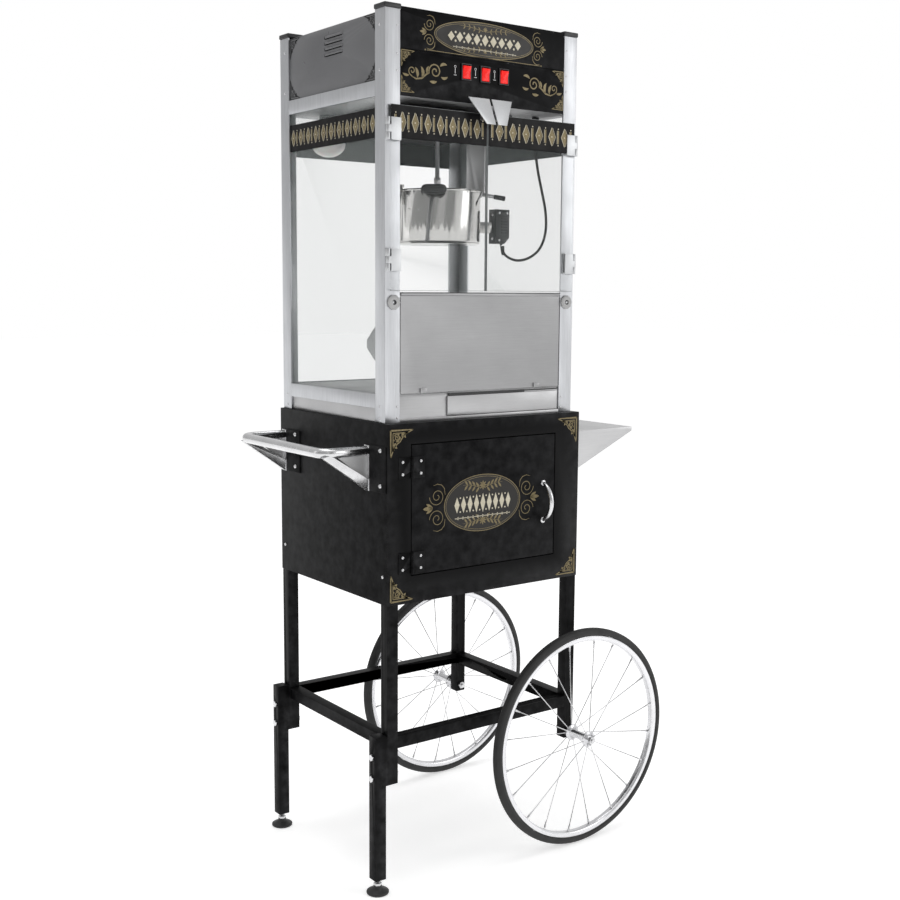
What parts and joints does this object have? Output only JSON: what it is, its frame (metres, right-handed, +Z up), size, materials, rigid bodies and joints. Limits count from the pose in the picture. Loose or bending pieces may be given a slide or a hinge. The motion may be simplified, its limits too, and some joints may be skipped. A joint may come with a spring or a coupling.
{
  "type": "popcorn maker",
  "caption": "Glass-sided popcorn maker with a tilting kettle, standing on a black cabinet cart with spoked wheels, a push handle and a side shelf.",
  "frame": {"origin": "centre of the bounding box's footprint, on the floor under the feet and the wheels", "axes": "+Z up, the front (doors, switches, cabinet door) faces -Y, the wheels are on the +X side and the push handle on the -X side"},
  "size_m": [0.8864, 0.628, 1.854],
  "materials": {
    "aluminium_profile": "satin anodised",
    "black_gloss_panel": "semi-gloss black enamel",
    "black_paint": "satin black powder coat",
    "black_plastic": "matte moulded",
    "chrome_plate": "bright plated",
    "clear_glass": "clear tempered",
    "cord_jacket": "matte",
    "foot_black": "matte",
    "frosted_lamp": "frosted",
    "header_grey": "satin dark grey",
    "hinge_alloy": "satin cast alloy",
    "hub_zinc": "bright plated",
    "polished_stainless": "polished",
    "red_rocker": "glossy translucent red",
    "rim_silver": "bright plated",
    "spoke_steel": "bright plated",
    "stainless": "brushed",
    "steel_shaft": "turned",
    "tyre_rubber": "matte solid rubber",
    "zinc_bolts": "bright zinc"
  },
  "bodies": {
    "frame": {"leg_front_left": "black_paint", "leg_front_right": "black_paint", "leg_rear_left": "black_paint", "leg_rear_right": "black_paint", "lower_legs": "black_paint", "cart_rails": "black_paint", "frame_bolts": "zinc_bolts", "wheel_axles": "zinc_bolts", "cabinet_body": "black_paint", "cabinet_face": "black_gloss_panel", "cabinet_hinges": "black_paint", "handle_plates": "black_paint", "push_handle": "chrome_plate", "side_shelf": "stainless", "post_front_left": "aluminium_profile", "post_front_right": "aluminium_profile", "post_rear_left": "aluminium_profile", "post_rear_right": "aluminium_profile", "post_caps": "black_plastic", "case_bars": "aluminium_profile", "glass_panels": "clear_glass", "case_base": "stainless", "deck": "stainless", "header_front": "black_gloss_panel", "header_shell": "header_grey", "header_floor": "stainless", "switch_bezels": "black_plastic", "post_fittings": "hinge_alloy", "motor_housing": "black_paint", "kettle_hanger": "stainless", "lamp_bulb": "frosted_lamp", "lamp_holder_and_gland": "black_plastic", "kettle_cord": "cord_jacket"},
    "wheel_front": {"wheel_front_tyre": "tyre_rubber", "wheel_front_rim": "rim_silver", "wheel_front_hub": "hub_zinc", "wheel_front_spokes": "spoke_steel"},
    "wheel_rear": {"wheel_rear_tyre": "tyre_rubber", "wheel_rear_rim": "rim_silver", "wheel_rear_hub": "hub_zinc", "wheel_rear_spokes": "spoke_steel"},
    "foot_front": {"foot_front": "foot_black"},
    "foot_rear": {"foot_rear": "foot_black"},
    "cabinet_door": {"cabinet_door": "black_gloss_panel", "cabinet_door_fittings": "black_paint"},
    "crumb_drawer": {"crumb_drawer": "stainless"},
    "dump_panel": {"dump_panel": "stainless"},
    "door_left": {"door_left_pane": "clear_glass", "door_left_fittings": "hinge_alloy"},
    "door_right": {"door_right_pane": "clear_glass", "door_right_fittings": "hinge_alloy"},
    "kettle": {"kettle_pot": "polished_stainless", "kettle_handle": "black_plastic", "kettle_plug": "black_plastic"},
    "kettle_lid": {"kettle_lid": "polished_stainless"},
    "stirrer": {"stirrer": "stainless"},
    "drive_shaft": {"drive_shaft": "steel_shaft"},
    "rocker_1": {"rocker_1": "red_rocker"},
    "rocker_2": {"rocker_2": "red_rocker"},
    "rocker_3": {"rocker_3": "red_rocker"}
  },
  "joints": [
    {"name": "wheel_front_spin", "type": "hinge", "parent": "frame", "child": "wheel_front", "pos_m": [0.18725, -0.268, 0.256], "axis": [0, 1, 0], "continuous": true},
    {"name": "wheel_rear_spin", "type": "hinge", "parent": "frame", "child": "wheel_rear", "pos_m": [0.18725, 0.268, 0.256], "axis": [0, 1, 0], "continuous": true},
    {"name": "foot_front_turn", "type": "hinge", "parent": "frame", "child": "foot_front", "pos_m": [-0.33975, -0.2125, 0.01], "axis": [0, 0, 1], "range_deg": [-180, 180]},
    {"name": "foot_rear_turn", "type": "hinge", "parent": "frame", "child": "foot_rear", "pos_m": [-0.33975, 0.2125, 0.01], "axis": [0, 0, 1], "range_deg": [-180, 180]},
    {"name": "cabinet_door_hinge", "type": "hinge", "parent": "frame", "child": "cabinet_door", "pos_m": [-0.26425, -0.2306, 0.828], "axis": [0, 0, -1], "range_deg": [0, 110]},
    {"name": "crumb_drawer_slide", "type": "slide", "parent": "frame", "child": "crumb_drawer", "axis": [0, -1, 0], "range_m": [0, 0.16]},
    {"name": "dump_panel_tilt", "type": "hinge", "parent": "frame", "child": "dump_panel", "pos_m": [-0.06125, -0.1965, 1.261], "axis": [-1, 0, 0], "range_deg": [0, 60]},
    {"name": "door_left_hinge", "type": "hinge", "parent": "frame", "child": "door_left", "pos_m": [-0.31225, -0.211, 1.47], "axis": [0, 0, -1], "range_deg": [0, 110]},
    {"name": "door_right_hinge", "type": "hinge", "parent": "frame", "child": "door_right", "pos_m": [0.18975, -0.211, 1.47], "axis": [0, 0, 1], "range_deg": [0, 110]},
    {"name": "kettle_tilt", "type": "hinge", "parent": "frame", "child": "kettle", "pos_m": [-0.03225, 0.01, 1.512], "axis": [1, 0, 0], "range_deg": [0, 60], "deforming": ["kettle_cord"]},
    {"name": "kettle_lid_hinge", "type": "hinge", "parent": "kettle", "child": "kettle_lid", "pos_m": [-0.03225, -0.004, 1.511], "axis": [-1, 0, 0], "range_deg": [0, 60]},
    {"name": "stirrer_spin", "type": "hinge", "parent": "kettle", "child": "stirrer", "pos_m": [-0.03225, 0.01, 1.452], "axis": [0, 0, 1], "continuous": true},
    {"name": "drive_spin", "type": "hinge", "parent": "frame", "child": "drive_shaft", "pos_m": [-0.03225, 0.01, 1.572], "axis": [0, 0, 1], "continuous": true},
    {"name": "rocker_1_press", "type": "hinge", "parent": "frame", "child": "rocker_1", "pos_m": [-0.11425, -0.2025, 1.738], "axis": [-1, 0, 0], "range_deg": [0, 14]},
    {"name": "rocker_2_press", "type": "hinge", "parent": "frame", "child": "rocker_2", "pos_m": [-0.06425, -0.2025, 1.738], "axis": [-1, 0, 0], "range_deg": [0, 14]},
    {"name": "rocker_3_press", "type": "hinge", "parent": "frame", "child": "rocker_3", "pos_m": [-0.01425, -0.2025, 1.738], "axis": [-1, 0, 0], "range_deg": [0, 14]}
  ],
  "couplings": [
    {"joint": "stirrer_spin", "follows": "drive_spin", "ratio": 1}
  ]
}
